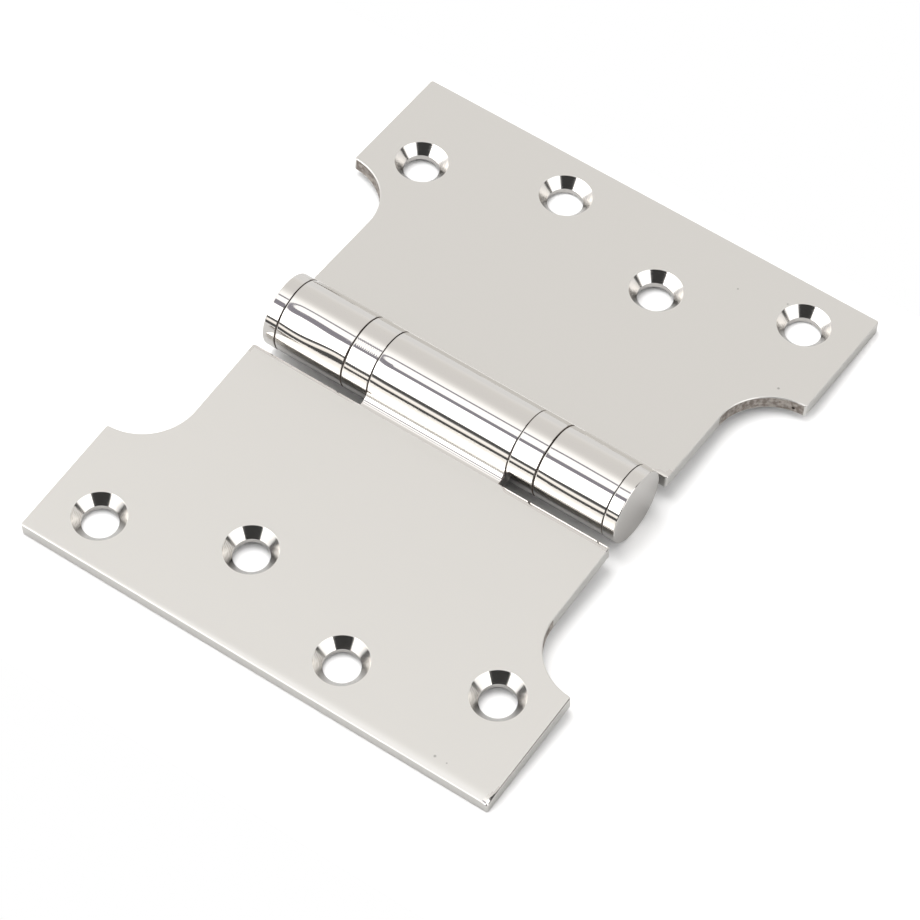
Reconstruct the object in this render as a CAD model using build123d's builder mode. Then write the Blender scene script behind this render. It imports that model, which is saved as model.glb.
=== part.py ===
from build123d import *

import os
from math import asin, atan2, cos, degrees, hypot, sin

# A parliament hinge: two T-shaped leaves whose wings stand well clear of the pin, so that a door
# fitted with it swings past a deep frame. It lies open, face up, as it rests on a table: the
# barrel and the two outer edges touch the table, and the leaves droop slightly between them.
# X runs along the pin, +Y towards the frame leaf, +Z up. The origin is the middle of the pin.

# Leaves, in mm
leaf_height = 102.0          # along the pin, across the wings
leaf_reach = 65.0            # from the pin's axis to a leaf's outer edge
leaf_thickness = 3.0
neck_height = 79.0           # along the pin, where the leaf narrows towards the barrel
wing_depth = 26.0            # from the outer edge to the tips of the wings
face_below_axis = 0.5        # half of the gap between the two faces when the hinge is shut
inner_edge_gap = 2.0         # from a leaf's inner edge to the other leaf's knuckles
edge_round = 0.25            # rounding left by polishing on every outer edge
corner_round = 0.5           # rounding of the corners, seen from above

# Screw holes
row_setback = 9.4            # outer row of holes to the leaf's outer edge
row_spacing = 9.6            # outer row to inner row
hole_pitch = 26.8            # along the pin, hole to hole
holes_per_leaf = 4
screw_hole_radius = 3.5
countersink_radius = 5.2
countersink_angle = 82.0
rim_round = 0.08

# Barrel
barrel_radius = 7.4
barrel_length = 78.0
door_knuckle_length = 30.8
root_round = 2.0             # hollow between a knuckle and its leaf's face
knuckle_end_round = 0.25
pin_radius = 3.5
pin_end_chamfer = 0.5
running_clearance = 0.05     # on the radius, where the door side turns on the pin
cap_thickness = 2.75
cap_edge_round = 0.25
cap_spigot_length = 4.0
spigot_pin_gap = 0.3

# Thrust bearing between a frame knuckle and the door knuckle
bearing_width = 5.8
bearing_end_gap = 0.1        # running gap between the housing and the frame knuckle
housing_wall = 0.9
race_gap_in_housing = 0.1    # between the outer race and the housing, which turn past each other
ball_radius = 1.0
ball_count = 10
ball_clearance = 0.05
groove_depth = 0.3
cage_thickness = 0.8
cage_rim_clearance = 0.15
cage_pocket_clearance = 0.1

# Worked out from the sizes above
inner_edge = barrel_radius + inner_edge_gap
wing_tip = leaf_reach - wing_depth
scoop_radius = (leaf_height - neck_height) / 2
scoop_start = wing_tip - scoop_radius
outer_row = leaf_reach - row_setback
inner_row = outer_row - row_spacing
knuckle_bore = pin_radius + running_clearance
housing_bore = barrel_radius - housing_wall
frame_knuckle_start = door_knuckle_length / 2 + bearing_width + bearing_end_gap
frame_knuckle_end = barrel_length / 2 - cap_thickness
frame_knuckle_length = frame_knuckle_end - frame_knuckle_start
bearing_middle = (door_knuckle_length / 2 + frame_knuckle_start) / 2
ball_pitch_radius = (pin_radius + housing_bore) / 2
race_spacing = 2 * (ball_radius - groove_depth)
race_thickness = (bearing_width + bearing_end_gap - race_spacing) / 2
groove_radius = ball_radius + ball_clearance

# The leaves droop until their rounded outer edges are level with the underside of the barrel.
edge_out = leaf_reach - edge_round
edge_down = face_below_axis + leaf_thickness - edge_round
droop = asin((barrel_radius - edge_round) / hypot(edge_out, edge_down)) - atan2(edge_down, edge_out)

# Each leaf has a plane of its own through the pin's axis: local y points out to its outer edge
# and local z out of its face. One leaf is the other turned half a turn about the vertical.
frame_plane = Plane(origin=(0, 0, 0), x_dir=(1, 0, 0), z_dir=(0, sin(droop), cos(droop)))
door_plane = Plane(origin=(0, 0, 0), x_dir=(-1, 0, 0), z_dir=(0, -sin(droop), cos(droop)))

finished = []


def finish(piece, name):
    """Label a finished piece and keep it for export."""
    piece.label = name
    finished.append(piece)


def leaf_plate(leaf_plane):
    """The flat of one leaf: T-shaped plate, edges eased, with its countersunk holes."""
    face = leaf_plane.offset(-face_below_axis)
    outwards = Axis(face.origin, face.z_dir)
    half_neck = neck_height / 2
    half_height = leaf_height / 2
    with BuildPart(face) as plate:
        with BuildSketch(face) as outline:
            with BuildLine():
                Polyline((-half_neck, scoop_start), (-half_neck, inner_edge),
                         (half_neck, inner_edge), (half_neck, scoop_start))
                CenterArc((half_height, scoop_start), scoop_radius, 90, 90)
                Polyline((half_height, wing_tip), (half_height, leaf_reach),
                         (-half_height, leaf_reach), (-half_height, wing_tip))
                CenterArc((-half_height, scoop_start), scoop_radius, 0, 90)
            make_face()
            corners = outline.vertices().filter_by(lambda v: abs(v.Y - scoop_start) > corner_round)
            fillet(corners, corner_round)
        extrude(amount=-leaf_thickness)
        flats = plate.faces().filter_by(outwards).sort_by(outwards)
        fillet(flats[0].edges() + flats[-1].edges(), edge_round)
        first = -hole_pitch * (holes_per_leaf - 1) / 2
        rows = (inner_row, outer_row)
        places = [(first + i * hole_pitch, rows[i % 2]) for i in range(holes_per_leaf)]
        with Locations(*places):
            CounterSinkHole(screw_hole_radius, countersink_radius, counter_sink_angle=countersink_angle)
        rims = plate.edges().filter_by(GeomType.CIRCLE)
        rims = rims.filter_by(lambda e: abs(e.radius - countersink_radius) < rim_round)
        fillet(rims, rim_round)
    return plate.part


def knuckle(leaf_plane, start, length, bore):
    """One knuckle with the root that joins it to its leaf, from start along the leaf's own x."""
    origin = leaf_plane.origin + leaf_plane.x_dir * start
    section_plane = Plane(origin=origin, x_dir=leaf_plane.y_dir, z_dir=leaf_plane.x_dir)
    root_length = inner_edge + 2 * edge_round
    with BuildPart() as roll:
        with BuildSketch(section_plane) as section:
            Circle(barrel_radius)
            with Locations((0, -face_below_axis)):
                Rectangle(root_length, leaf_thickness, align=(Align.MIN, Align.MAX))
            fillet(section.vertices().group_by(Axis.X)[:-1], root_round)
        extrude(amount=length)
        ends = roll.faces().filter_by(Axis.X)
        fillet(ends.edges(), knuckle_end_round)
        with BuildSketch(section_plane):
            Circle(bore)
        extrude(amount=length, mode=Mode.SUBTRACT)
    return roll.part


with BuildPart() as frame_leaf:
    add(leaf_plate(frame_plane))
    for start in (-frame_knuckle_end, frame_knuckle_start):
        add(knuckle(frame_plane, start, frame_knuckle_length, pin_radius))
finish(frame_leaf.part, "frame_leaf")

with BuildPart() as door_leaf:
    add(leaf_plate(door_plane))
    add(knuckle(door_plane, -door_knuckle_length / 2, door_knuckle_length, knuckle_bore))
finish(door_leaf.part, "door_leaf")

pin_length = 2 * (frame_knuckle_end - cap_spigot_length - spigot_pin_gap)
with BuildPart() as hinge_pin:
    with BuildSketch(Plane.YZ.offset(-pin_length / 2)):
        Circle(pin_radius)
    extrude(amount=pin_length)
    chamfer(hinge_pin.edges().filter_by(GeomType.CIRCLE), pin_end_chamfer)
finish(hinge_pin.part, "hinge_pin")

# Each end of the barrel, and each bearing, is built once for the left and once for the right.
for side, sign in (("left", -1), ("right", 1)):
    with BuildPart() as end_cap:
        with BuildSketch(Plane.YZ.offset(sign * frame_knuckle_end)):
            Circle(barrel_radius)
        extrude(amount=sign * cap_thickness)
        rims = end_cap.edges().filter_by(GeomType.CIRCLE).sort_by(Axis.X)
        fillet(rims[-1 if sign > 0 else 0], cap_edge_round)
        fillet(rims[0 if sign > 0 else -1], knuckle_end_round)
        with BuildSketch(Plane.YZ.offset(sign * frame_knuckle_end)):
            Circle(pin_radius)
        extrude(amount=-sign * cap_spigot_length)
    finish(end_cap.part, f"{side}_end_cap")

    door_face = sign * door_knuckle_length / 2
    frame_face = sign * frame_knuckle_start
    middle = sign * bearing_middle

    with BuildPart() as bearing_housing:
        with BuildSketch(Plane.YZ.offset(door_face)):
            Circle(barrel_radius)
        extrude(amount=sign * bearing_width)
        fillet(bearing_housing.edges().filter_by(GeomType.CIRCLE), knuckle_end_round)
        with BuildSketch(Plane.YZ.offset(door_face)):
            Circle(housing_bore)
        extrude(amount=sign * bearing_width, mode=Mode.SUBTRACT)
    finish(bearing_housing.part, f"{side}_bearing_housing")

    races = (
        ("door_race", door_face + sign * race_thickness / 2, knuckle_bore, housing_bore),
        ("frame_race", frame_face - sign * race_thickness / 2, pin_radius,
         housing_bore - race_gap_in_housing),
    )
    for race_name, race_middle, inside, outside in races:
        with BuildPart() as race:
            with BuildSketch(Plane.XY):
                with Locations((race_middle, (inside + outside) / 2)):
                    Rectangle(race_thickness, outside - inside)
                with Locations((middle, ball_pitch_radius)):
                    Circle(groove_radius, mode=Mode.SUBTRACT)
            revolve(axis=Axis.X)
        finish(race.part, f"{side}_{race_name}")

    with BuildPart(Plane.YZ.offset(middle)) as balls:
        with PolarLocations(ball_pitch_radius, ball_count):
            Sphere(ball_radius)
    finish(balls.part, f"{side}_bearing_balls")

    with BuildPart() as cage:
        with BuildSketch(Plane.YZ.offset(middle)):
            Circle(housing_bore - cage_rim_clearance)
            Circle(pin_radius + cage_rim_clearance, mode=Mode.SUBTRACT)
            with PolarLocations(ball_pitch_radius, ball_count):
                Circle(ball_radius + cage_pocket_clearance, mode=Mode.SUBTRACT)
        extrude(amount=cage_thickness / 2, both=True)
    finish(cage.part, f"{side}_ball_cage")

os.makedirs("parts", exist_ok=True)
for piece in finished:
    export_step(piece, f"parts/{piece.label}.step")
print(f"droop of each leaf {degrees(droop):.3f} degrees")
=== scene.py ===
from math import asin, atan, atan2, ceil, cos, degrees, exp, hypot, pi, radians, sin, sqrt, tan

import bpy
from mathutils import Matrix, Vector, noise
from mathutils.geometry import delaunay_2d_cdt


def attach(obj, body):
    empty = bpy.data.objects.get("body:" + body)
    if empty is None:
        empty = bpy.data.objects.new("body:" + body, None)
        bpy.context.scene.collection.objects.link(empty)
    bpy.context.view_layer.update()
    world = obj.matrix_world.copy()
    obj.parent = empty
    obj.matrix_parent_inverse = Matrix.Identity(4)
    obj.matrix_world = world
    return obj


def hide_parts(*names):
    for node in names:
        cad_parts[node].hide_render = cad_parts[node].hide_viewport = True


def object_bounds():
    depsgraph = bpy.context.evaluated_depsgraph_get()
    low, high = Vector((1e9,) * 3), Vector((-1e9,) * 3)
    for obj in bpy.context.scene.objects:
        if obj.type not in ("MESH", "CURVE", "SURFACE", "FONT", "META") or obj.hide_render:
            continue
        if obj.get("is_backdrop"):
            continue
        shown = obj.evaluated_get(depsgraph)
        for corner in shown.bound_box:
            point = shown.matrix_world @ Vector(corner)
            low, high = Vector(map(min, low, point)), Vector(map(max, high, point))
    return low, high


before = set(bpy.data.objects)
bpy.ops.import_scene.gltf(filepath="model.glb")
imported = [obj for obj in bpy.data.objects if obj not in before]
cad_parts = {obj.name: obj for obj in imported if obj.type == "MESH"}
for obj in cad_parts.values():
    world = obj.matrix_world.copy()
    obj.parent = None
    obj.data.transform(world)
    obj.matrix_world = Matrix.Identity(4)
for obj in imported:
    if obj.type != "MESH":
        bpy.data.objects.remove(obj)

bl_info = {
    "name": "Parliament hinge",
    "version": (1, 0, 0),
    "blender": (4, 5, 0),
    "location": "View3D > Sidebar > Hinge",
    "description": "Finishes, stage and camera for a ball bearing parliament hinge",
    "category": "Object",
}

MM = 0.001
FULL_TURN = 2 * pi
TINY = 1e-6    # less than any difference that counts


def linear(hex_colour):
    """An sRGB hex colour as the linear RGBA that a shader takes."""
    parts = [int(hex_colour[i:i + 2], 16) / 255 for i in (1, 3, 5)]
    return (*(c / 12.92 if c <= 0.04045 else ((c + 0.055) / 1.055) ** 2.4 for c in parts), 1.0)


def node(tree, kind, inputs=(), output=0, **settings):
    """Add a shader node with its settings, and give back one of its outputs. Its inputs are
    values or other nodes' outputs, in the node's own order or by name."""
    made = tree.nodes.new("ShaderNode" + kind)
    for name, value in settings.items():
        setattr(made, name, value)
    for socket, value in inputs.items() if isinstance(inputs, dict) else enumerate(inputs):
        target = made.inputs[socket]
        if isinstance(value, bpy.types.NodeSocket):
            tree.links.new(value, target)
        else:
            target.default_value = value
    return made.outputs[output]


def placed(name, data):
    """A new object with this mesh, lamp or camera, in the scene."""
    made = bpy.data.objects.new(name, data)
    bpy.context.scene.collection.objects.link(made)
    return made


def length_property(name, description, default):
    """A length that a user can change. Its default is given in mm."""
    return bpy.props.FloatProperty(
        name=name, description=description, default=default * MM, unit="LENGTH")


def colour_property(name, description, default):
    """A colour that a user can change. Its default is given in sRGB hex."""
    return bpy.props.FloatVectorProperty(
        name=name, description=description, subtype="COLOR", size=4, min=0, max=1,
        default=linear(default))


def roughness_property(name, description, default):
    """A roughness that a user can change, from 0 for a mirror to 1 for matt."""
    return bpy.props.FloatProperty(
        name=name, description=description, subtype="FACTOR", min=0, max=1, default=default)


class HingeSizes(bpy.types.PropertyGroup):
    """The hinge's driving sizes, the same as those of the CAD."""

    leaf_height: length_property("Leaf height", "Along the pin, across the wings", 102)
    leaf_reach: length_property("Leaf reach", "From the pin's axis to a leaf's outer edge", 65)
    leaf_thickness: length_property("Leaf thickness", "Face to back", 3)
    neck_height: length_property(
        "Neck height", "Along the pin, where a leaf narrows towards the barrel", 79)
    wing_depth: length_property("Wing depth", "From the outer edge to the tips of the wings", 26)
    face_below_axis: length_property(
        "Face below axis", "From the pin's axis down to a leaf's face", 0.5)
    inner_edge: length_property("Inner edge", "From the pin's axis to a leaf's inner edge", 9.4)
    edge_round: length_property("Edge rounding", "Left by polishing on every outer edge", 0.25)
    corner_round: length_property("Corner rounding", "Of the corners, seen from above", 0.5)
    outer_row: length_property(
        "Outer row", "From the pin's axis to the outer row of screw holes", 55.6)
    inner_row: length_property(
        "Inner row", "From the pin's axis to the inner row of screw holes", 46)
    hole_pitch: length_property("Hole pitch", "Along the pin, from hole to hole", 26.8)
    hole_radius: length_property("Screw hole radius", "Of the straight part at the back", 3.5)
    countersink_radius: length_property(
        "Countersink radius", "Where the cone meets the face", 5.2)
    countersink_angle: bpy.props.FloatProperty(
        name="Countersink angle", description="Of the whole cone",
        default=radians(82), subtype="ANGLE", unit="ROTATION")
    rim_round: length_property("Rim rounding", "Of the edge round a countersink", 0.08)
    barrel_radius: length_property(
        "Barrel radius", "Outside of the knuckles, bearings and caps", 7.4)
    barrel_length: length_property("Barrel length", "Over both end caps", 78)
    door_knuckle: length_property("Door knuckle", "Length of the long middle knuckle", 30.8)
    bearing_width: length_property(
        "Bearing width", "Length of a bearing's housing along the pin", 5.8)
    bearing_gap: length_property(
        "Bearing gap", "Running gap between a housing and the frame knuckle", 0.1)
    cap_thickness: length_property("Cap thickness", "Of the flush part of an end cap", 2.75)
    cap_spigot: length_property(
        "Cap spigot", "Length of the plug that holds a cap in its knuckle", 4)
    root_round: length_property("Root rounding", "Hollow between a knuckle and its leaf", 2)
    seam_round: length_property("Seam rounding", "Of every edge round the barrel", 0.25)
    pin_radius: length_property("Pin radius", "And of the frame knuckles' bore", 3.5)
    door_bore: length_property(
        "Door knuckle bore", "Radius, with the clearance to turn on the pin", 3.55)
    housing_bore: length_property("Housing bore", "Inner radius of a bearing's housing", 6.5)


class HingeWear(bpy.types.PropertyGroup):
    """What casting, polishing and use left on the hinge."""

    crown: length_property(
        "Crown", "How much thinner buffing left each knuckle at its ends", 0.06)
    crown_length: length_property(
        "Crown length", "How far in from a knuckle's end that reaches", 3.5)
    outer_left: length_property(
        "Outer roll-off, left", "Width of it at the left end of the door leaf's outer edge", 0.8)
    outer_right: length_property(
        "Outer roll-off, right", "Width of it at the right end of the door leaf's outer edge", 2.6)
    corner: length_property(
        "Corner roll-off", "Width of it on the door leaf's right side, at the outer corner", 1.5)
    inner_left: length_property(
        "Inner roll-off, left",
        "Width of it on the door leaf's inner edge, left of the knuckle", 0.42)
    inner_right: length_property(
        "Inner roll-off, right",
        "Width of it on the door leaf's inner edge, right of the knuckle", 0.85)


class HingeFinish(bpy.types.PropertyGroup):
    """Colours and polish of the metals."""

    steel: colour_property("Steel", "Colour of the mirror-polished stainless steel", "#DDDAD6")
    leaf_steel: colour_property(
        "Leaf steel", "Colour of the leaves, a little paler where buffing left a fine haze",
        "#E0DEDA")
    leaf_roughness: roughness_property(
        "Leaf roughness", "Roughness of the hand-buffed faces of the leaves", 0.34)
    barrel_roughness: roughness_property(
        "Barrel roughness", "Roughness of the turned and buffed barrel", 0.05)
    hollow_depth: length_property(
        "Hollow depth", "Of the faint hollows that the buffing wheel left", 0.02)
    compound: colour_property(
        "Compound", "Colour of the dried polishing compound in the seams", "#2F2926")
    # Painted light: the compound's paler colour lower on the barrel, towards the bright card.
    compound_painted_paler: colour_property(
        "Dry compound", "Colour of the thin film that wiping left of it", "#8C827B")
    cast_skin: colour_property(
        "Cast skin", "Colour of the rough casting in the hollows of the neck", "#BFB8B1")
    cast_scale: colour_property(
        "Cast scale", "Colour of the darker patches of that skin", "#8F867F")
    cast_roughness: roughness_property("Cast roughness", "Roughness of that skin", 0.5)
    turned_roughness: roughness_property(
        "Turned roughness", "Roughness of the countersinks as they were cut", 0.12)
    bearing_steel: colour_property(
        "Bearing steel", "Colour of the ground races, balls and pin", "#B9B8B6")
    bearing_roughness: roughness_property(
        "Bearing roughness", "Roughness of the ground races, balls and pin", 0.22)
    brass: colour_property("Brass", "Colour of the pressed ball cages", "#D9B36A")
    brass_roughness: roughness_property("Brass roughness", "Roughness of the ball cages", 0.3)


class HingeStudio(bpy.types.PropertyGroup):
    """The card, the lamp and the camera."""

    floor: colour_property(
        "Card", "Colour of the matt white card, as the steel reflects it", "#C8C8C8")
    key_power: bpy.props.FloatProperty(
        name="Key lamp", description="Power of the soft lamp on the left, in watts",
        min=0, default=4.0)
    focal_length: bpy.props.FloatProperty(
        name="Focal length", description="Of the camera's lens, in millimetres on a 36 mm sensor",
        min=10, default=171.78)


def metal_material(name, colour, roughness):
    """A plain metal with these, and the node tree and shader to go on from."""
    material = bpy.data.materials.new(name)
    material.use_nodes = True
    shader = material.node_tree.nodes["Principled BSDF"]
    shader.inputs["Metallic"].default_value = 1.0
    shader.inputs["Base Color"].default_value = colour
    shader.inputs["Roughness"].default_value = roughness
    return material, material.node_tree, shader


# Specks of scale on the faces of the leaves, and last the pit in the wall of the far right hollow,
# as (x, y, depth under the face, radius) in mm, seen from above with the hinge open. Their places
# were measured in the photo and rounded to half a millimetre.
SPECKS_AND_PIT_SHADE = (
    (44.5, 39.5, 0.0, 0.35),
    (25.5, 55.5, 0.0, 0.25),
    (35.0, 58.0, 0.0, 0.25),
    (38.0, -62.0, 0.0, 0.35),
    (40.5, -62.0, 0.0, 0.2),
    # The last entry is the pit. It isn't modelled, and its black is painted shade of the pit with
    # the scale in it.
    (48.5, 38.5, 2.0, 0.45),
)
SPECK_CORE = 0.4        # share of a speck's radius that is fully dark
SPECK_STRENGTH = 0.4    # how dark a speck on a polished face is


def specks_and_pit_shade_mask(tree, place):
    """1 within each of the specks and within the pit's painted shade, falling to 0 at its edge."""
    sizes = bpy.context.scene.hinge_sizes
    droop = leaf_droop(sizes)
    dark = 0.0
    for x, y, depth, radius in SPECKS_AND_PIT_SHADE:
        z = -(sizes.face_below_axis + depth * MM) / cos(droop) - abs(y) * MM * tan(droop)
        apart = node(tree, "VectorMath", (place, (x * MM, y * MM, z)), "Value",
                     operation="DISTANCE")
        spot = node(tree, "MapRange", (apart, SPECK_CORE * radius * MM, radius * MM, 1.0, 0.0),
                    interpolation_type="SMOOTHSTEP")
        dark = node(tree, "Math", (spot, dark), operation="MAXIMUM")
    return dark


HOLLOW_WIDTH = 6 * MM


def mirror_polished_stainless(name):
    """304 stainless steel, cast flat and buffed by hand: warm and bright, with reflections that
    run soft in the wheel's fine haze. It is never quite even, because the wheel left faint hollows
    a few millimetres wide, and small grey specks of scale that lay too deep for it."""
    finish = bpy.context.scene.hinge_finish
    material, tree, shader = metal_material(name, finish.leaf_steel, finish.leaf_roughness)
    place = node(tree, "TexCoord", output="Object")
    hollows = node(tree, "TexNoise", {"Vector": place, "Scale": 1 / HOLLOW_WIDTH, "Detail": 2.0})
    bump = node(tree, "Bump", {"Height": hollows, "Strength": 1.0, "Distance": finish.hollow_depth})
    tree.links.new(bump, shader.inputs["Normal"])
    specks = specks_and_pit_shade_mask(tree, place)
    dark = node(tree, "Math", (specks, SPECK_STRENGTH), operation="MULTIPLY")
    spotted = node(tree, "MixRGB", (dark, finish.leaf_steel, finish.compound))
    tree.links.new(spotted, shader.inputs["Base Color"])
    return material


# The compound covers the steel where the normal leans along the pin, from the first of these shares
# to the second. Its colour is painted shade and light: paler below the first height, towards the
# card, and darkest above the second, on top. Blotches raise both heights by up to BLOTCH_REACH.
PACKED_LEAN = (0.3, 0.75)
PAINTED_SHADE_HEIGHT = (-16 * MM, -3 * MM)
BLOTCH_WIDTH = 9 * MM
BLOTCH_REACH = 22 * MM


def buffed_barrel_steel(name, compound):
    """The same steel, turned round and buffed to a clear mirror. Dried polishing compound stays in
    the seams, where the surface turns away from round. Over it, painted shade and light make the
    seams nearly black on top and greyer towards the card, and they are greyer in random patches."""
    finish = bpy.context.scene.hinge_finish
    material, tree, shader = metal_material(name, finish.steel, finish.barrel_roughness)
    if compound:
        turned = node(tree, "TexCoord", output="Normal")
        along_pin = node(tree, "SeparateXYZ", (turned,), "X")
        lean = node(tree, "Math", (along_pin,), operation="ABSOLUTE")
        packed = node(tree, "MapRange", (lean, *PACKED_LEAN), interpolation_type="SMOOTHSTEP")
        place = node(tree, "TexCoord", output="Object")
        # Painted shade and light: the seams are darkest on top and paler lower down, towards the
        # card.
        height = node(tree, "SeparateXYZ", (place,), "Z")
        blotches = node(tree, "TexNoise", {"Vector": place, "Scale": 1 / BLOTCH_WIDTH})
        shade_level = node(tree, "Math", (blotches, -BLOTCH_REACH, height), operation="MULTIPLY_ADD")
        painted_shade = node(tree, "MapRange", (shade_level, *PAINTED_SHADE_HEIGHT))
        colour = node(tree, "MixRGB", (painted_shade, finish.compound_painted_paler, finish.compound))
        dried = node(tree, "BsdfDiffuse", (colour,))
        both = node(tree, "MixShader", (packed, shader.outputs[0], dried))
        tree.links.new(both, tree.nodes["Material Output"].inputs["Surface"])
    return material


MOTTLE_WIDTH = 0.8 * MM
MOTTLE_SHARE = (0.4, 0.62)    # of the noise, where scale turns to bare skin
GRAIN_WIDTH = 0.5 * MM
GRAIN_DEPTH = 0.15 * MM


def rough_cast_steel(name):
    """The skin of the casting, left where the wheel didn't reach: dull, grainy and mottled in
    brownish greys. Its pit isn't modelled and is painted black, as painted shade of the pit with
    scale in it."""
    finish = bpy.context.scene.hinge_finish
    material, tree, shader = metal_material(name, finish.cast_skin, finish.cast_roughness)
    place = node(tree, "TexCoord", output="Object")
    mottle = node(tree, "TexNoise", {"Vector": place, "Scale": 1 / MOTTLE_WIDTH, "Detail": 3.0})
    share = node(tree, "MapRange", (mottle, *MOTTLE_SHARE))
    skin = node(tree, "MixRGB", (share, finish.cast_scale, finish.cast_skin))
    # Painted shade: the pit is painted black in place of its shaded hollow, with its scale.
    spotted = node(tree, "MixRGB", (specks_and_pit_shade_mask(tree, place), skin, finish.compound))
    tree.links.new(spotted, shader.inputs["Base Color"])
    grain = node(tree, "TexNoise", {"Vector": place, "Scale": 1 / GRAIN_WIDTH, "Detail": 6.0})
    bump = node(tree, "Bump", {"Height": grain, "Strength": 1.0, "Distance": GRAIN_DEPTH})
    tree.links.new(bump, shader.inputs["Normal"])
    return material


def turned_countersink_steel(name):
    """Cut with a countersink and not buffed after: bright, with the fine rings of the cutter."""
    finish = bpy.context.scene.hinge_finish
    return metal_material(name, finish.steel, finish.turned_roughness)[0]


def ground_bearing_steel(name):
    """Hardened chrome steel, ground: a darker, cooler grey with a fine even grain."""
    finish = bpy.context.scene.hinge_finish
    return metal_material(name, finish.bearing_steel, finish.bearing_roughness)[0]


def pressed_cage_brass(name):
    """Sheet brass, pressed and tumbled: yellow, with the soft shine of a rolled sheet."""
    finish = bpy.context.scene.hinge_finish
    return metal_material(name, finish.brass, finish.brass_roughness)[0]


# The finishes by their place in a piece's list of materials. A turned piece has the first two.
POLISHED, BARREL, TURNED, CAST, ARRIS = 0, 1, 2, 3, 4


def within(point, sides):
    """Whether a point lies within these closed rings of (start, end), and in none of the holes."""
    crossed = 0
    for a, b in sides:
        if (a.y > point.y) != (b.y > point.y):
            crossed += point.x < a.x + (point.y - a.y) / (b.y - a.y) * (b.x - a.x)
    return crossed % 2 == 1


class Shell:
    """The faces of one closed mesh, with the true normal of the surface at each of their corners.
    A cast face has no true normal, and takes one from its rough neighbours."""

    def __init__(self):
        self.points = []
        self.places = {}
        self.faces = []
        self.normals = []
        self.finishes = []

    def vertex(self, point):
        """The number of the vertex at this point. Points within a tenth of a micron are one."""
        key = tuple(round(c * 1e7) for c in point)
        if key not in self.places:
            self.places[key] = len(self.points)
            self.points.append(tuple(point))
        return self.places[key]

    def face(self, corners, finish=POLISHED):
        """Add a face from its (point, normal) corners, wound the way that the normals look."""
        kept = {}
        for point, normal in corners:
            kept.setdefault(self.vertex(point), Vector(normal))
        if len(kept) < 3:
            return
        ring = list(kept)
        first = Vector(self.points[ring[0]])
        wound = Vector()
        for a, b in zip(ring[1:], ring[2:]):
            wound += (Vector(self.points[a]) - first).cross(Vector(self.points[b]) - first)
        if wound.dot(sum(kept.values(), Vector())) < 0:
            ring.reverse()
        self.faces.append(ring)
        self.normals.extend(kept[i] if finish != CAST else Vector() for i in ring)
        self.finishes.append(finish)

    def grid(self, rows, finish=POLISHED, closed=False):
        """Quads between neighbouring rows of (point, normal). A closed grid joins last to first."""
        pairs = list(zip(rows, rows[1:]))
        if closed:
            pairs.append((rows[-1], rows[0]))
        for one, two in pairs:
            for i in range(len(one) - 1):
                self.face((one[i], one[i + 1], two[i + 1], two[i]), finish)

    def flat(self, rings, normal, finish=POLISHED):
        """A flat face within the first ring of points, with the others as its holes."""
        across = [i for i in range(3) if abs(normal[i]) < 0.5]
        corners = [point for ring in rings for point in ring]
        flat = [Vector([point[i] / MM for i in across]) for point in corners]
        edges = []
        for ring in rings:
            first = len(edges)
            edges += [(first + i, first + (i + 1) % len(ring)) for i in range(len(ring))]
        made, _, triangles, origins, _, _ = delaunay_2d_cdt(flat, edges, [], 1, TINY)
        sides = [(flat[a], flat[b]) for a, b in edges]
        for triangle in triangles:
            middle = (made[triangle[0]] + made[triangle[1]] + made[triangle[2]]) / 3
            if within(middle, sides):
                self.face([(corners[origins[i][0]], normal) for i in triangle], finish)

    def build(self, name, materials, place, body):
        """The finished object, put in place and riding on its body."""
        mesh = bpy.data.meshes.new(name)
        mesh.from_pydata([place @ Vector(point) for point in self.points], [], self.faces)
        for material in materials:
            mesh.materials.append(material)
        mesh.polygons.foreach_set("material_index", self.finishes)
        turn = place.to_3x3()
        mesh.normals_split_custom_set([(turn @ normal).normalized() for normal in self.normals])
        mesh.update()
        made = placed(name, mesh)
        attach(made, body)
        return made


def along(start, end, step):
    """Evenly spaced values from start to end, no further apart than step."""
    count = max(1, ceil(abs(end - start) / step - TINY))
    return [start + (end - start) * i / count for i in range(count + 1)]


def arc(centre, radius, start, end, step, hollow=False):
    """Points of an arc as (x, y, outward x, outward y). A hollow arc looks at its own centre."""
    sign = -1 if hollow else 1
    angles = along(radians(start), radians(end), step)
    return [(centre[0] + radius * cos(a), centre[1] + radius * sin(a), sign * cos(a), sign * sin(a))
            for a in angles]


def line(start, end, step):
    """Points of a straight edge with the piece on its left, as (x, y, outward x, outward y)."""
    length = hypot(end[0] - start[0], end[1] - start[1])
    way = ((end[0] - start[0]) / length, (end[1] - start[1]) / length)
    return [(start[0] + way[0] * t, start[1] + way[1] * t, way[1], -way[0])
            for t in along(0, length, step)]


# How far apart the points of a mesh lie.
EDGE_STEP = 0.75 * MM
WEB_STEP = 0.4 * MM
CORNER_STEP = radians(7.5)
SCOOP_STEP = radians(1.2)
TURN_STEP = radians(2)
ROUND_STEP = radians(15)
ROOT_STEP = radians(10)

# Rows of faces on a plate's rolled face, top rounding and wall.
ROLLED_ROWS = 9
ROUND_ROWS = 6
WALL_ROWS = 13


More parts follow.
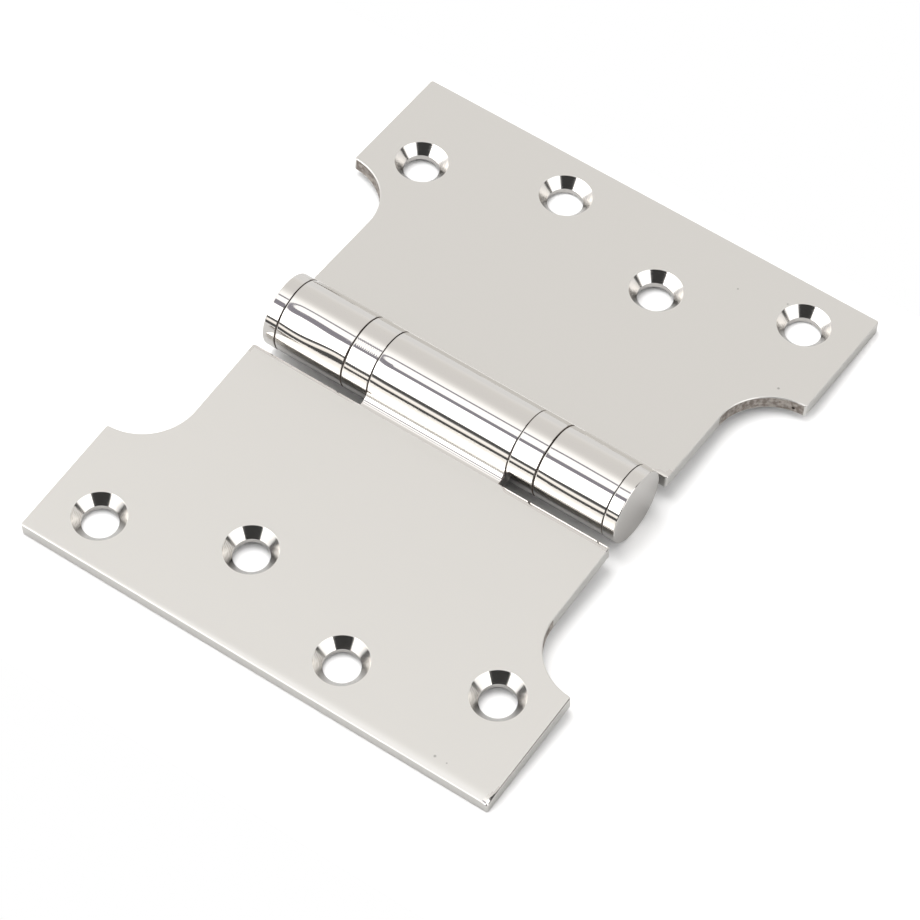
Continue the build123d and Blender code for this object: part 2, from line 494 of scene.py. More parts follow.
def half_outline(sizes, start):
    """A plate's edge seen from above, from start on the inner edge to the outer edge's middle."""
    c = sizes.corner_round
    neck, side = sizes.neck_height / 2, sizes.leaf_height / 2
    scoop = side - neck
    hollow = (side, sizes.leaf_reach - sizes.wing_depth - scoop)
    tip = hollow[1] + sqrt((scoop + c) ** 2 - c ** 2)
    lean = degrees(asin(c / (scoop + c)))
    inner, outer = sizes.inner_edge, sizes.leaf_reach
    points = line((start, inner), (neck - c, inner), EDGE_STEP)
    points += arc((neck - c, inner + c), c, -90, 0, CORNER_STEP)[1:]
    points += line((neck, inner + c), (neck, hollow[1]), EDGE_STEP)[1:]
    points += arc(hollow, scoop, 180, 90 + lean, SCOOP_STEP, hollow=True)[1:]
    points += arc((side - c, tip), c, lean - 90, 0, CORNER_STEP)[1:]
    points += line((side, tip), (side, outer - c), EDGE_STEP)[1:]
    points += arc((side - c, outer - c), c, 0, 90, CORNER_STEP)[1:]
    points += line((side - c, outer), (0, outer), EDGE_STEP)[1:]
    return points


def mirrored(points):
    """The other half of an outline, in the order that carries on from the first half."""
    return [(-x, y, -nx, ny) for x, y, nx, ny in reversed(points)]


def smooth(value, low, high):
    """0 below low, 1 above high and an even S between them."""
    t = min(1.0, max(0.0, (value - low) / (high - low)))
    return t * t * (3 - 2 * t)


# How the roll-off changes along the edges of a leaf.
END_MARGIN = 4 * MM               # the outer one keeps its width this near to its ends
CORNER_REACH = 7 * MM             # how far it runs from the corner along the right side
MIDDLE_BLEND = 10 * MM            # the inner one changes its width this near to the middle
ROOT_FADE = (0.3 * MM, 2 * MM)    # from the knuckle's end to its start and to its full width
FRAME_ROLL = 0.7 * MM             # on the frame leaf's inner edge, right of its right knuckle
FRAME_ROLL_START = (36.3 * MM, 37.5 * MM)


def roll_widths(sizes, wear, side, x, y):
    """How far in from a leaf's outer, right and inner edges the buffing wheel rolled its face off,
    near this point. The door leaf was held to it by its left end, so its right end has more."""
    if side == "frame_side":
        return 0.0, 0.0, FRAME_ROLL * smooth(x, *FRAME_ROLL_START)
    half = sizes.leaf_height / 2 - END_MARGIN
    outer = wear.outer_left + (wear.outer_right - wear.outer_left) * smooth(-x, -half, half)
    right = wear.corner * max(0.0, 1 - (sizes.leaf_reach - y) / CORNER_REACH) ** 2
    to_right = smooth(-x, -MIDDLE_BLEND, MIDDLE_BLEND)
    inner = wear.inner_left + (wear.inner_right - wear.inner_left) * to_right
    clear, full = (sizes.door_knuckle / 2 + length for length in ROOT_FADE)
    return outer, right, inner * smooth(abs(x), clear, full)


# How steep the face gets at each of those edges, and how soon: a low power turns down at once.
# A roll-off narrower than FULL_TILT_WIDTH gets less steep.
ROLLED = ((radians(18), 2.0), (radians(50), 1.0), (radians(18), 0.5))
FULL_TILT_WIDTH = 0.2 * MM


def rolled_down(sizes, wear, side, x, y):
    """How deep the face lies under its plane at this point, and how that slopes along x and y."""
    drop = slope_x = slope_y = 0.0
    ways = (
        (0, 1, sizes.leaf_reach - y), (-1, 0, sizes.leaf_height / 2 + x),
        (0, -1, y - sizes.inner_edge),
    )
    widths = roll_widths(sizes, wear, side, x, y)
    for width, (tilt, power), (way_x, way_y, inset) in zip(widths, ROLLED, ways):
        if inset < width and width > 0:
            near = min(1.0, 1 - inset / width)
            tilt *= min(1.0, width / FULL_TILT_WIDTH)
            drop += tilt * width / (power + 1) * near ** (power + 1)
            slope_x += way_x * tilt * near ** power
            slope_y += way_y * tilt * near ** power
    return drop, slope_x, slope_y


ARRIS_REACH = 1.5 * MM    # of the crisp polish, in from the inner edge


def at_arris(sizes, wear, side, place):
    """Whether this place is on an edge that the wheel polished crisp: the inner edge, and the door
    leaf's right edge."""
    x, y = place[:2]
    right = roll_widths(sizes, wear, side, x, y)[1]
    at_right = x + sizes.leaf_height / 2 < right + sizes.edge_round
    return y < sizes.inner_edge + ARRIS_REACH or side == "door_side" and at_right


# Over which stretch, from the outer and from the inner edge, the rows of a plate's edge draw in.
# The outer stretch is longer by three widths of its roll-off.
OUTER_FADE = (4.2 * MM, 3.2 * MM)
INNER_FADE = (1.2 * MM, 4 * MM)


def rolled_reach(sizes, wear, side, x, y):
    """How far in from this point of its outline the rows of a plate's edge have to reach."""
    outer, _, inner = roll_widths(sizes, wear, side, x, y)
    far, near = (sizes.leaf_reach - inset for inset in OUTER_FADE)
    near_outer = smooth(y, far - 3 * outer, near)
    near_inner = 1 - smooth(y, *(sizes.inner_edge + inset for inset in INNER_FADE))
    return outer * near_outer + inner * near_inner


# The coarse and the fine roughness of the casting's skin, as (depth, width).
CAST_ROUGH = ((0.05 * MM, 1.1 * MM), (0.02 * MM, 0.35 * MM))
CAST_FADE = 0.1    # share of the wall's height over which it starts


def casting_dent(x, y, z):
    """How deep the rough skin of the casting lies under the true wall at this point."""
    place = Vector((x, y, z))
    return sum(depth * (1 + noise.noise(place / width)) for depth, width in CAST_ROUGH)


# How near to the outer or inner edge the rows of a plate's edge are kept within its sides, and
# the share of the top rounding at which its slope is that of the face.
SIDE_REACH = 5 * MM
SLOPE_INSET = 0.6
NO_ROLL = (0.0, 0.0, 0.0)    # no drop and no slope


def plate_edge(sizes, wear, side, point, corner=0, cast=False):
    """The edge of a plate at one point of its outline: rolled face, top rounding, wall and bottom
    rounding, as (point, normal). A corner of 1 or -1 mitres it into the end of a knuckle's root."""
    x, y, nx, ny = point
    top = -sizes.face_below_axis
    bottom = top - sizes.leaf_thickness
    r = sizes.edge_round
    half_side, half_neck = sizes.leaf_height / 2, sizes.neck_height / 2

    def moved_in(inset):
        px, py = x - nx * inset - corner * inset, y - ny * inset
        if y > sizes.leaf_reach - SIDE_REACH:
            widest, py = half_side - inset, min(sizes.leaf_reach - inset, py)
        elif y < sizes.inner_edge + SIDE_REACH:
            widest, py = half_neck - inset, max(sizes.inner_edge + inset, py)
        else:
            return px, py
        return max(-widest, min(widest, px)), py

    reach = 0.0 if corner else rolled_reach(sizes, wear, side, x, y)
    made = []
    for t in along(0, 1, 1 / ROLLED_ROWS)[:-1]:
        px, py = moved_in(r + reach * (1 - t))
        drop, slope_x, slope_y = NO_ROLL if corner else rolled_down(sizes, wear, side, px, py)
        made.append(((px, py, top - drop), Vector((slope_x, slope_y, 1.0)).normalized()))
    px, py = moved_in(SLOPE_INSET * r)
    drop, slope_x, slope_y = NO_ROLL if corner else rolled_down(sizes, wear, side, px, py)
    tilt = atan(max(0.0, slope_x * nx + slope_y * ny))
    sunk = top - drop - r * cos(tilt)
    rows = [(r * (1 - sin(a)), sunk + r * cos(a), sin(a), cos(a))
            for a in along(tilt, pi / 2, (pi / 2 - tilt) / ROUND_ROWS)]
    for t in along(0, 1, 1 / WALL_ROWS)[1:-1]:
        z = sunk + (bottom + r - sunk) * t
        dent = casting_dent(x, y, z) * smooth(min(t, 1 - t), 0, CAST_FADE) if cast else 0.0
        rows.append((dent, z, 1.0, 0.0))
    for a in along(pi / 2, 0, ROUND_STEP):
        rows.append((r * (1 - sin(a)), bottom + r * (1 - cos(a)), sin(a), -cos(a)))
    for inset, z, out, up in rows:
        px, py = moved_in(inset)
        made.append(((px, py, z), (nx * out, ny * out, up)))
    return made


# Where the buffing wheel bit into the barrel, as (middle and spread along the pin, middle and
# spread round it, depth), in mm and degrees, 90 on top and 180 on the near side.
BITES = {
    "left_knuckle": (
        (-31.5, 3.0, 138, 13, 0.10), (-23.3, 3.5, 153.6, 11, 0.14), (-28.0, 6.0, 117, 9, 0.04)),
    "left_bearing_housing": ((-18.3, 9.0, 141, 11, 0.17), (-18.3, 9.0, 112, 8, 0.05)),
    "middle_knuckle": ((0.0, 30.0, 145, 9, 0.08),),
    "right_bearing_housing": ((18.3, 9.0, 142, 11, 0.12), (18.3, 9.0, 120, 16, 0.06)),
    "right_knuckle": ((31.0, 7.0, 146, 9, 0.08), (27.0, 9.0, 120, 16, 0.09)),
}


def bitten(piece, x, angle):
    """How deep the wheel bit into the barrel here, and how that slopes along and round it."""
    depth = slope_along = slope_round = 0.0
    for at, spread, middle, width, deep in BITES.get(piece, ()):
        u = (x / MM - at) / spread
        v = (degrees(angle) - middle) / width
        here = deep * exp(-(u * u + v * v) / 2)
        depth += here
        slope_along += here * u / spread
        slope_round += here * v / radians(width)
    return depth * MM, slope_along, slope_round * MM


# How soon the barrel's crown and bites start beside a root, per radian. The wheel hardly reached
# the left knuckle's inner end, and the crown there is only a share as steep.
ROOT_BLEND = 3
INNER_CROWN = 0.2


def knuckle_section(sizes, inset, end, crown):
    """A knuckle and its root, cut across the pin, as (y, z, normal y, normal z, share of crown).
    It starts and ends where the root runs into the plate, at end."""
    top, bottom = -sizes.face_below_axis, -sizes.face_below_axis - sizes.leaf_thickness
    r, barrel = sizes.root_round, sizes.barrel_radius
    high, low = top + r, bottom - r
    reach = barrel + r
    high_y, low_y = sqrt(reach ** 2 - high ** 2), sqrt(reach ** 2 - low ** 2)
    first, last = atan2(high, high_y), FULL_TURN + atan2(low, low_y)
    points = [(end, top - inset, 0.0, 1.0, 0.0)]
    points += [(*point, 0.0) for point in arc(
        (high_y, high), r + inset, -90, degrees(first) - 180, ROOT_STEP, hollow=True)]
    for a in along(first, last, TURN_STEP)[1:]:
        share = min(1.0, ROOT_BLEND * min(a - first, last - a))
        radius = barrel - inset - crown * share
        points.append((radius * cos(a), radius * sin(a), cos(a), sin(a), share))
    points += [(*point, 0.0) for point in arc(
        (low_y, low), r + inset, degrees(last) - 180, 90, ROOT_STEP, hollow=True)[1:]]
    points.append((end, bottom + inset, 0.0, -1.0, 0.0))
    return points


def add_knuckle(shell, sizes, wear, start, end, bore, half_turn):
    """One knuckle with its root, open towards the plate, and the hole for the pin through it."""
    piece = "middle_knuckle" if half_turn else "left_knuckle" if start < 0 else "right_knuckle"
    way = -1 if half_turn else 1
    droop = leaf_droop(sizes)
    r, inner = sizes.seam_round, sizes.inner_edge
    length = wear.crown_length
    rings = []
    for side, x_end in ((1, start), (-1, end)):
        for a in along(pi / 2, 0, ROUND_STEP):
            x = x_end + side * r * (1 - sin(a))
            rings.append((x, r * (1 - cos(a)), inner + r * (1 - sin(a)), -side * sin(a), cos(a)))
    for x in along(start + r, end - r, WEB_STEP)[1:-1]:
        rings.append((x, 0.0, inner + r, 0.0, 1.0))
    rows = []
    for x, inset, junction, lean, out in sorted(rings):
        near = max(0.0, 1 - min(x - start, end - x) / length)
        if piece == "left_knuckle" and end - x < x - start:
            near *= INNER_CROWN
        slope = 2 * wear.crown * near / length * (1 if x - start < end - x else -1)
        row = []
        for y, z, ny, nz, share in knuckle_section(sizes, inset, junction, wear.crown * near ** 2):
            a = atan2(z, y)
            angle = pi - a + droop if half_turn else a - droop
            depth, slope_along, slope_round = bitten(piece, way * x, angle)
            depth, slope_along = depth * share, (slope + way * slope_along) * share
            slope_round *= way * share / sizes.barrel_radius
            normal = (lean - slope_along, (ny + sin(a) * slope_round) * out,
                      (nz - cos(a) * slope_round) * out)
            row.append(((x, y - depth * cos(a), z - depth * sin(a)), normal))
        rows.append(row)
    shell.grid(rows, BARREL)
    hole = [(bore * cos(a), bore * sin(a)) for a in along(0, FULL_TURN, 2 * TURN_STEP)[:-1]]
    for row, x, way in ((rows[0], start, -1), (rows[-1], end, 1)):
        wall = plate_edge(sizes, wear, "", (x, inner, 0, -1), corner=1)
        side = [point for point, normal in wall if abs(normal[2]) < TINY]
        ring = [point for point, normal in row] + side[::-1][1:-1]
        shell.flat([ring, [(x, y, z) for y, z in hole]], (way, 0, 0))
    shell.grid([[((x, y, z), (0, -y, -z)) for x in (start, end)] for y, z in hole], closed=True)


# The rings of the countersink's cutter.
CUTTER_FEED = 0.38 * MM
CUTTER_DEPTH = 0.01 * MM
CUTTER_ROWS = 8                   # rows of faces on each ring
CUTTER_FADE = CUTTER_FEED / 4     # how far from the rim and the bore they are at full depth


def add_hole(shell, sizes, x, y):
    """A countersunk screw hole. Gives back its edges on the face and on the back of the plate."""
    top = -sizes.face_below_axis
    bottom = top - sizes.leaf_thickness
    half = sizes.countersink_angle / 2
    r, rim, bore = sizes.rim_round, sizes.countersink_radius, sizes.hole_radius
    turn = pi / 2 - half
    tangent = r * tan(turn / 2)
    profile = [(rim + tangent - r * sin(a), top - r * (1 - cos(a)), -sin(a), cos(a))
               for a in along(0, turn, ROUND_STEP / 2)]
    land = top - (rim - bore) / tan(half)
    rim_x, rim_z = profile[-1][:2]
    slant = hypot(rim_x - bore, rim_z - land)
    for t in along(0, slant, CUTTER_FEED / CUTTER_ROWS)[1:]:
        fade = min(1.0, min(t, slant - t) / CUTTER_FADE)
        dip = CUTTER_DEPTH * fade * (1 - cos(FULL_TURN * t / CUTTER_FEED)) / 2
        lean = pi * CUTTER_DEPTH / CUTTER_FEED * fade * sin(FULL_TURN * t / CUTTER_FEED)
        out = rim_x + (bore - rim_x) * t / slant + dip * cos(half)
        down = rim_z + (land - rim_z) * t / slant - dip * sin(half)
        profile.append((out, down, -cos(half + lean), sin(half + lean)))
    for z in (land, bottom):
        profile.append((bore, z, -1.0, 0.0))
    angles = along(0, FULL_TURN, 2 * TURN_STEP)[:-1]
    for one, two in zip(profile, profile[1:]):
        rows = []
        for a in angles:
            rows.append([((x + p[0] * cos(a), y + p[0] * sin(a), p[1]),
                          (p[2] * cos(a), p[2] * sin(a), p[3])) for p in (one, two)])
        shell.grid(rows, TURNED, closed=True)
    return [[(x + p[0] * cos(a), y + p[0] * sin(a), z) for a in angles]
            for p, z in ((profile[0], top), (profile[-1], bottom))]


HOLES = 4


def leaf_shell(sizes, wear, side, knuckles, bore, half_turn):
    """One leaf as a single closed mesh: plate, countersunk holes and its knuckles."""
    shell = Shell()
    inner = sizes.inner_edge
    r = sizes.seam_round
    scoop = (sizes.leaf_height - sizes.neck_height) / 2
    hollow_y = sizes.leaf_reach - sizes.wing_depth - scoop
    first, last = knuckles[0][0], knuckles[-1][1]
    stretches = [half_outline(sizes, last)[:-1] + mirrored(half_outline(sizes, -first))]
    for (_, left_end), (right_start, _) in zip(knuckles, knuckles[1:]):
        stretches.append(line((left_end, inner), (right_start, inner), EDGE_STEP))
    face, back = [], []
    for points, (start, end) in zip(stretches, knuckles):
        columns = [plate_edge(sizes, wear, side, points[0], corner=1)]
        scooped = [False]
        for point in points:
            x, y = point[:2]
            scooped.append(abs(hypot(abs(x) - sizes.leaf_height / 2, y - hollow_y) - scoop) < 1e-7)
            columns.append(plate_edge(sizes, wear, side, point, cast=scooped[-1]))
        columns.append(plate_edge(sizes, wear, side, points[-1], corner=-1))
        scooped.append(False)
        for i, (one, two) in enumerate(zip(columns, columns[1:])):
            cast = scooped[i] and scooped[i + 1]
            for j in range(len(one) - 1):
                wall = abs(one[j][1][2]) + abs(one[j + 1][1][2]) < TINY
                arris = j < ROLLED_ROWS + ROUND_ROWS and at_arris(sizes, wear, side, one[j][0])
                finish = CAST if cast and wall else ARRIS if arris else POLISHED
                shell.face((one[j], one[j + 1], two[j + 1], two[j]), finish)
        web = along(start + r, end - r, WEB_STEP)[1:-1]
        for loop, row in ((face, 0), (back, -1)):
            loop += [column[row][0] for column in columns]
            loop += [(x, inner + r, columns[0][row][0][2]) for x in web]
    face_holes, back_holes = [], []
    for i in range(HOLES):
        x = (i - (HOLES - 1) / 2) * sizes.hole_pitch
        y = sizes.outer_row if i % 2 else sizes.inner_row
        for holes, ring in zip((face_holes, back_holes), add_hole(shell, sizes, x, y)):
            holes.append(ring)
    shell.flat([face] + face_holes, (0, 0, 1))
    shell.flat([back] + back_holes, (0, 0, -1))
    for start, end in knuckles:
        add_knuckle(shell, sizes, wear, start, end, bore, half_turn)
    return shell


def rounded_end(x, radius, size, way):
    """The rounded edge of a turned piece, from its flat end at x to its outside."""
    return [(x - way * size * (1 - sin(a)), radius - size * (1 - cos(a)), way * sin(a), cos(a))
            for a in along(pi / 2, 0, ROUND_STEP)]


# The wheel bit only what lies further than this from the pin's axis.
BITTEN_BEYOND = 7 * MM


def turned_piece(name, runs, steels, body):
    """A piece turned about the pin, in place of its CAD node. Each run of its profile is smooth:
    points as (x, radius, normal along x, normal outwards), and the finish of its faces."""
    shell = Shell()
    angles = along(0, FULL_TURN, TURN_STEP)[:-1]
    for run, finish in runs:
        rings = []
        for x, r, nx, out in run:
            ring = []
            for a in angles:
                depth, slope_along, slope_round = bitten(name, x, a)
                share = max(out, 0.0) if r > BITTEN_BEYOND else 0.0
                lean, turned = nx - slope_along * share, slope_round * share / r if share else 0.0
                place = (x, (r - depth * share) * cos(a), (r - depth * share) * sin(a))
                normal = (lean, out * cos(a) + turned * sin(a), out * sin(a) - turned * cos(a))
                ring.append((place, normal))
            rings.append(ring)
        for one, two in zip(rings, rings[1:]):
            shell.grid(list(zip(one, two)), finish, closed=True)
    made = shell.build(f"{name}_polished", steels, Matrix.Identity(4), body)
    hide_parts(name)


def leaf_droop(sizes):
    """How far a leaf droops, for its outer edge to be level with the underside of the barrel."""
    e = sizes.edge_round
    out, down = sizes.leaf_reach - e, sizes.face_below_axis + sizes.leaf_thickness - e
    return asin((sizes.barrel_radius - e) / hypot(out, down)) - atan2(down, out)


def leaf_place(sizes, half_turn):
    """Where a leaf lies on the card."""
    return Matrix.Rotation(half_turn, 4, "Z") @ Matrix.Rotation(-leaf_droop(sizes), 4, "X")


# The fine rings that the wheel left on the bearings' housings: how far apart and how steep they
# are, how many radians they wander and over what width, and the rows of faces on each.
RIPPLE = 0.42 * MM
RIPPLE_SLOPE = {"left": 0.024, "right": 0.008}
RIPPLE_WANDER = 2.2
WANDER_WIDTH = 0.9 * MM
RIPPLE_ROWS = 6


def ripple(x, side):
    """How deep the rings are here, and how the normal leans."""
    wander = RIPPLE_WANDER * noise.noise(Vector((x / WANDER_WIDTH, 0.0, 0.0)))
    phase = FULL_TURN * x / RIPPLE + wander
    slope = RIPPLE_SLOPE[side]
    return slope * RIPPLE / FULL_TURN * (1 - cos(phase)) / 2, slope * sin(phase)


class HINGE_OT_leaves(bpy.types.Operator):
    """Build both leaves with their knuckles as smooth closed meshes"""
    bl_idname = "hinge.leaves"
    bl_label = "Build the leaves"

    def execute(self, context):
        sizes, wear = context.scene.hinge_sizes, context.scene.hinge_wear
        steels = [mirror_polished_stainless("mirror_polished_stainless"),
                  buffed_barrel_steel("buffed_knuckle_steel", compound=True),
                  turned_countersink_steel("turned_countersink_steel"),
                  rough_cast_steel("rough_cast_steel"),
                  buffed_barrel_steel("buffed_arris_steel", compound=False)]
        outer = sizes.door_knuckle / 2 + sizes.bearing_width + sizes.bearing_gap
        tip = sizes.barrel_length / 2 - sizes.cap_thickness
        half = sizes.door_knuckle / 2
        leaves = (
            ("frame_leaf", "frame_side", [(-tip, -outer), (outer, tip)], sizes.pin_radius, 0.0),
            ("door_leaf", "door_side", [(-half, half)], sizes.door_bore, pi),
        )
        for name, side, knuckles, bore, half_turn in leaves:
            shell = leaf_shell(sizes, wear, side, knuckles, bore, half_turn)
            leaf = shell.build(f"{name}_polished", steels, leaf_place(sizes, half_turn), side)
            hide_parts(name)
        return {"FINISHED"}


class HINGE_OT_barrel(bpy.types.Operator):
    """Turn the end caps and the bearings' housings"""
    bl_idname = "hinge.barrel"
    bl_label = "Turn the barrel's rings"

    def execute(self, context):
        sizes = context.scene.hinge_sizes
        steels = [buffed_barrel_steel("buffed_cap_steel", compound=False),
                  bpy.data.materials["buffed_knuckle_steel"]]
        radius, size = sizes.barrel_radius, sizes.seam_round
        end = sizes.barrel_length / 2
        inside = end - sizes.cap_thickness
        plug = inside - sizes.cap_spigot
        near, far = sizes.door_knuckle / 2, sizes.door_knuckle / 2 + sizes.bearing_width
        for side, way in (("left", -1), ("right", 1)):
            middle = [(way * (inside + end) / 2, radius, 0.0, 1.0)]
            cap = (
                ([(way * end, 0.0, way, 0.0), (way * end, radius - size, way, 0.0)], POLISHED),
                (rounded_end(way * end, radius, size, way) + middle, POLISHED),
                (middle + rounded_end(way * inside, radius, size, -way)[::-1], BARREL),
                ([(way * inside, r, -way, 0.0) for r in (radius - size, sizes.pin_radius)], BARREL),
                ([(way * x, sizes.pin_radius, 0.0, 1.0) for x in (inside, plug)], POLISHED),
                ([(way * plug, r, -way, 0.0) for r in (sizes.pin_radius, 0.0)], POLISHED),
            )
            turned_piece(f"{side}_end_cap", cap, steels, "frame_side")
            outside = rounded_end(way * near, radius, size, -way)
            for x in along(way * (near + size), way * (far - size), RIPPLE / RIPPLE_ROWS)[1:-1]:
                dip, lean = ripple(x, side)
                outside.append((x, radius - dip, lean, 1.0))
            housing = (
                (outside + rounded_end(way * far, radius, size, way)[::-1], BARREL),
                ([(way * far, r, way, 0.0) for r in (radius - size, sizes.housing_bore)], BARREL),
                ([(way * x, sizes.housing_bore, 0.0, -1.0) for x in (far, near)], POLISHED),
                ([(way * near, r, -way, 0.0) for r in (sizes.housing_bore, radius - size)], BARREL),
            )
            turned_piece(f"{side}_bearing_housing", housing, steels, "door_side")
        return {"FINISHED"}


class HINGE_OT_bearings(bpy.types.Operator):
    """Give the pin, races, balls and cages inside the barrel their finishes"""
    bl_idname = "hinge.bearings"
    bl_label = "Finish the bearings"

    def execute(self, context):
        ground = ground_bearing_steel("ground_bearing_steel")
        brass = pressed_cage_brass("pressed_cage_brass")
        for name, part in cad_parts.items():
            if name.endswith(("pin", "race", "balls", "cage")):
                part.data.materials.clear()
                part.data.materials.append(brass if name.endswith("cage") else ground)
        return {"FINISHED"}


class HINGE_OT_studio(bpy.types.Operator):
    """Lay the white card and set the world, the key lamp and the camera"""
    bl_idname = "hinge.studio"
    bl_label = "Set the stage"

    def execute(self, context):
        lay_card(context)
        light_room(context)
        hang_key_lamp(context)
        stand_camera(context)
        return {"FINISHED"}


WHITE = linear("#FCFCFC")

# The card's left, right, near and far edges, in mm from the middle of the pin.
CARD = (-260, 260, -88, 72)


def lay_card(context):
    """The matt white card that the hinge lies on, level with its lowest point. The camera sees it
    white, with the hinge's shadows on it, and the steel sees it a little greyer."""
    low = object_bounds()[0].z
    mesh = bpy.data.meshes.new("white_card")
    left, right, near, far = (edge * MM for edge in CARD)
    mesh.from_pydata([(left, near, low), (right, near, low), (right, far, low), (left, far, low)],
                     [], [(0, 1, 2, 3)])
    card = placed("white_card", mesh)
    card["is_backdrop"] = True
    material = bpy.data.materials.new("matt_white_card")
    material.use_nodes = True
    tree = material.node_tree
    shader = tree.nodes["Principled BSDF"]
    seen = node(tree, "LightPath", output="Is Camera Ray")
    colour = node(tree, "MixRGB", (seen, context.scene.hinge_studio.floor, WHITE))
    tree.links.new(colour, shader.inputs["Base Color"])
    shader.inputs["Roughness"].default_value = 1.0
    shader.inputs["Specular IOR Level"].default_value = 0.0
    mesh.materials.append(material)


# What the polished barrel sees round the room, as (degrees, colour, strength). The angle goes from
# the far horizon, 0, over the ceiling, 90, to the near horizon, 180, and under it from -180.
ROOM = (
    (-180, "#FFFFFF", 0.1), (-171, "#FFFFFF", 0.1), (-169, "#FFFFFF", 0.8),
    (-60, "#FFFFFF", 0.6), (-12, "#FFFFFF", 0.45), (-3, "#FFFFFF", 0.6), (0, "#FFFFFF", 0.95),
    (6, "#FFFFFF", 1.02), (14, "#FFFEFD", 0.98), (30, "#FFFDFA", 0.9), (46, "#FFFDFB", 0.88),
    (62, "#FFFDFB", 0.88), (70, "#FFFDFB", 0.93), (78, "#FFFEFC", 1.1), (84, "#FFFEFD", 1.35),
    (90, "#FFFFFF", 1.45), (118, "#FFFFFF", 1.45), (137, "#FFFFFF", 3.4), (164, "#FFFFFF", 3.4),
    (165.5, "#FFFFFF", 0.1), (171, "#FFFFFF", 0.1), (172.5, "#FFFDFA", 1.5),
    (176, "#FFFAF4", 1.3), (179.2, "#FFFAF4", 1.2), (180, "#FFFFFF", 0.1),
)
ROOM_PEAK = 3.4

# The skylight's frame and its bright glass, as (first angle, last angle, how much wider it is at
# its left end, length of its rounded end, colour, strength), with the angles in degrees. It ends
# on the left where the direction's x is SKYLIGHT_END, and is wider left of SKYLIGHT_STEP. Its edge
# runs soft over SKYLIGHT_EDGE, where 1 is the true edge.
SKYLIGHT = (
    (94.0, 124.2, 0.7, 0.055, "#E2DEEC", 0.44),
    (97.8, 115.0, -3.6, 0.030, "#FFFFFF", 1.5),
)
SKYLIGHT_END = -0.365
SKYLIGHT_STEP = (-0.351, -0.345)
SKYLIGHT_EDGE = (0.9, 1.1)

# What else stands round the hinge, as (name, left, right, low, high, softness, colour, strength).
# Left and right are bearings, 0 towards the near side and 90 towards the right, low and high are
# elevations, all in degrees.
SURROUNDINGS = (
    ("photographer", -7, 61, -30, 62, 2.0, "#FFFFFF", 0.05),
    ("right light panel", 65, 111, 13, 64, 1.5, "#FFFFFF", 1.9),
    ("dark room on the right", 113, 125, -30, 60, 2.0, "#FFFFFF", 0.1),
    ("dark gap on the left", -76, -56, -10, 12, 1.5, "#FFFFFF", 0.2),
    ("pale wall on the left", -165, -80, -30, 14, 3.0, "#FFFFFF", 0.92),
)


def room_level(colour, strength):
    """The colour of a part of the room, as a share of the brightest part."""
    return [c * strength / ROOM_PEAK for c in linear(colour)[:3]] + [1]


def light_room(context):
    """A white photo studio: pale wall, bright ceiling panels, and the dark gaps between them."""
    world = bpy.data.worlds.new("white_studio")
    context.scene.world = world
    world.use_nodes = True
    tree = world.node_tree
    tree.nodes.clear()
    direction = node(tree, "TexCoord", output="Generated")
    x, y, z = node(tree, "SeparateXYZ", (direction,)).node.outputs
    over = node(tree, "Math", (z, y), operation="ARCTAN2")
    place = node(tree, "MapRange", (over, -pi, pi))
    seen = node(tree, "ValToRGB", (place,))
    stops = seen.node.color_ramp.elements
    while len(stops) < len(ROOM):
        stops.new(0.5)
    for stop, (angle, colour, strength) in zip(stops, ROOM):
        stop.position = (angle + 180) / 360
        stop.color = room_level(colour, strength)

    # A bright skylight with a dark frame, over the hinge and reaching to the right.
    beyond = node(tree, "Math", (SKYLIGHT_END, x), operation="SUBTRACT")
    beyond = node(tree, "Math", (beyond, 0.0), operation="MAXIMUM")
    wider = node(tree, "MapRange", (x, *SKYLIGHT_STEP, 1.0, 0.0), interpolation_type="SMOOTHSTEP")
    for low, high, grow, round_end, colour, strength in SKYLIGHT:
        half = node(tree, "Math", (wider, radians(grow / 2), radians((high - low) / 2)),
                    operation="MULTIPLY_ADD")
        across = node(tree, "Math", (over, radians(low)), operation="SUBTRACT")
        across = node(tree, "Math", (across, half), operation="DIVIDE")
        across = node(tree, "Math", (across, 1.0), operation="SUBTRACT")
        past = node(tree, "Math", (beyond, round_end), operation="DIVIDE")
        past = node(tree, "Math", (past, past), operation="MULTIPLY")
        out = node(tree, "Math", (across, across, past), operation="MULTIPLY_ADD")
        mask = node(tree, "MapRange", (out, *SKYLIGHT_EDGE, 1.0, 0.0),
                    interpolation_type="SMOOTHSTEP")
        seen = node(tree, "MixRGB", (mask, seen, room_level(colour, strength)))

    nearwards = node(tree, "Math", (y, -1.0), operation="MULTIPLY")
    bearing = node(tree, "Math", (x, nearwards), operation="ARCTAN2")
    height = node(tree, "Math", (z,), operation="ARCSINE")
    for name, left, right, low, high, soft, colour, strength in SURROUNDINGS:
        mask = 1.0
        for value, edge, before in ((bearing, left, 0.0), (bearing, right, 1.0),
                                    (height, low, 0.0), (height, high, 1.0)):
            side = node(tree, "MapRange",
                        (value, radians(edge - soft), radians(edge + soft), before, 1 - before),
                        interpolation_type="SMOOTHSTEP")
            mask = node(tree, "Math", (side, mask), operation="MULTIPLY")
        level = room_level(colour, strength)
        seen = node(tree, "MixRGB", (mask, seen, level), label=name)

    room = node(tree, "Background", (seen, ROOM_PEAK))
    white = node(tree, "Background", ((1, 1, 1, 1), 1.0))
    camera = node(tree, "LightPath", output="Is Camera Ray")
    mixed = node(tree, "MixShader", (camera, room, white))
    tree.links.new(mixed, tree.nodes.new("ShaderNodeOutputWorld").inputs["Surface"])


# The lamp's place and the side of its square, in metres.
KEY_PLACE = (-0.24, 0.07, 0.9)
KEY_SIZE = 0.5


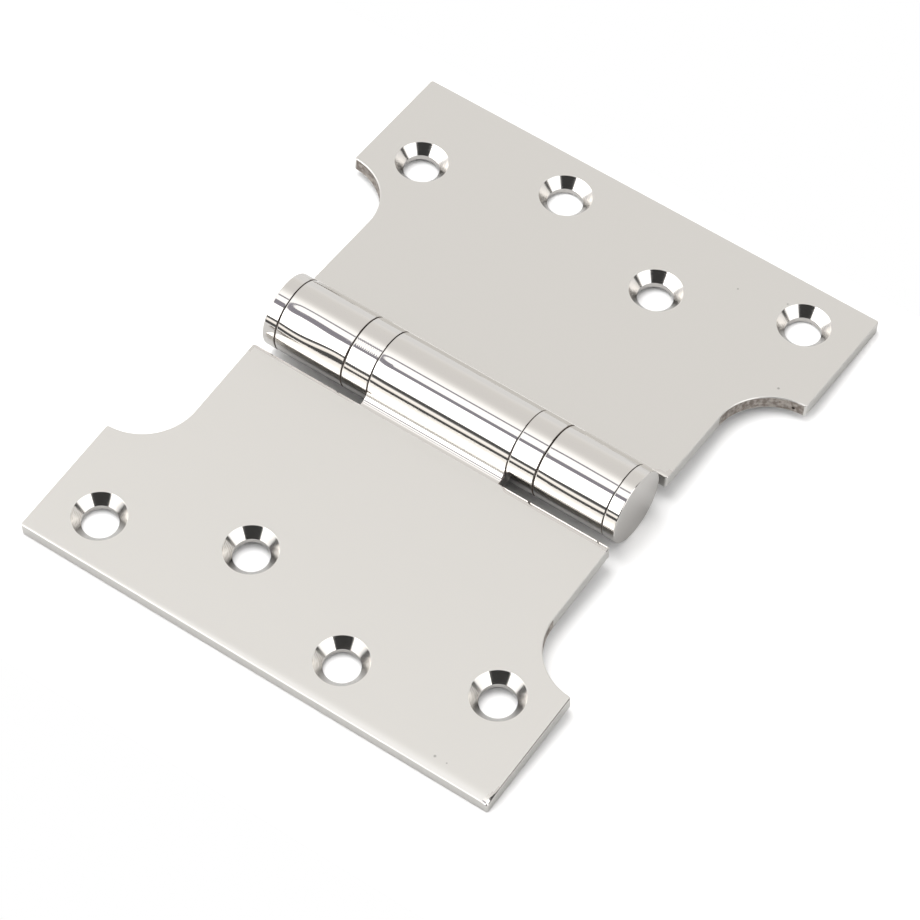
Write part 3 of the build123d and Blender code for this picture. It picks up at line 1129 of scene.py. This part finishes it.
def hang_key_lamp(context):
    """A soft lamp high on the left, which throws the short shadows to the right."""
    lamp = bpy.data.lights.new("key_lamp", "AREA")
    lamp.energy = context.scene.hinge_studio.key_power
    lamp.shape = "SQUARE"
    lamp.size = KEY_SIZE
    holder = placed("key_lamp", lamp)
    holder.location = KEY_PLACE
    holder.rotation_mode = "QUATERNION"
    holder.rotation_quaternion = (-holder.location).to_track_quat("-Z", "Y")
    holder.visible_camera = False
    holder.visible_glossy = False


# Where the camera stands and what it looks at, in mm, and how far it is turned.
CAMERA_PLACE = (261.2, -401.0, 643.6)
CAMERA_TARGET = (7.1, -9.8, 0.0)
CAMERA_TURN = radians(2.04)
SENSOR_WIDTH = 36
CLIP_START = 50 * MM


def stand_camera(context):
    """The photographer's camera: a long lens, high on the near right, turned slightly."""
    place, target = Vector(CAMERA_PLACE) * MM, Vector(CAMERA_TARGET) * MM
    data = bpy.data.cameras.new("camera")
    data.sensor_width = SENSOR_WIDTH
    data.lens = context.scene.hinge_studio.focal_length
    data.clip_start = CLIP_START
    camera = placed("camera", data)
    level = (target - place).to_track_quat("-Z", "Y").to_matrix().to_4x4()
    turned = Matrix.Rotation(CAMERA_TURN, 4, "Z")
    camera.matrix_world = Matrix.Translation(place) @ level @ turned
    context.scene.camera = camera


class HINGE_PT_sidebar(bpy.types.Panel):
    """The steps that build the dressed hinge"""
    bl_label = "Parliament hinge"
    bl_idname = "HINGE_PT_sidebar"
    bl_space_type = "VIEW_3D"
    bl_region_type = "UI"
    bl_category = "Hinge"

    def draw(self, context):
        for step in STEPS:
            self.layout.operator(step.bl_idname)


GROUPS = {
    "hinge_sizes": HingeSizes,
    "hinge_wear": HingeWear,
    "hinge_finish": HingeFinish,
    "hinge_studio": HingeStudio,
}
STEPS = (HINGE_OT_leaves, HINGE_OT_barrel, HINGE_OT_bearings, HINGE_OT_studio)
CLASSES = (*GROUPS.values(), *STEPS, HINGE_PT_sidebar)


def register():
    for cls in CLASSES:
        bpy.utils.register_class(cls)
    for name, group in GROUPS.items():
        setattr(bpy.types.Scene, name, bpy.props.PointerProperty(type=group))


def unregister():
    for name in GROUPS:
        delattr(bpy.types.Scene, name)
    for cls in reversed(CLASSES):
        bpy.utils.unregister_class(cls)


def main():
    """Build everything in order."""
    register()
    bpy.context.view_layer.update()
    bpy.context.scene.view_settings.view_transform = "Standard"
    bpy.ops.hinge.leaves()
    bpy.ops.hinge.barrel()
    bpy.ops.hinge.bearings()
    bpy.ops.hinge.studio()


if __name__ == "__main__":
    main()
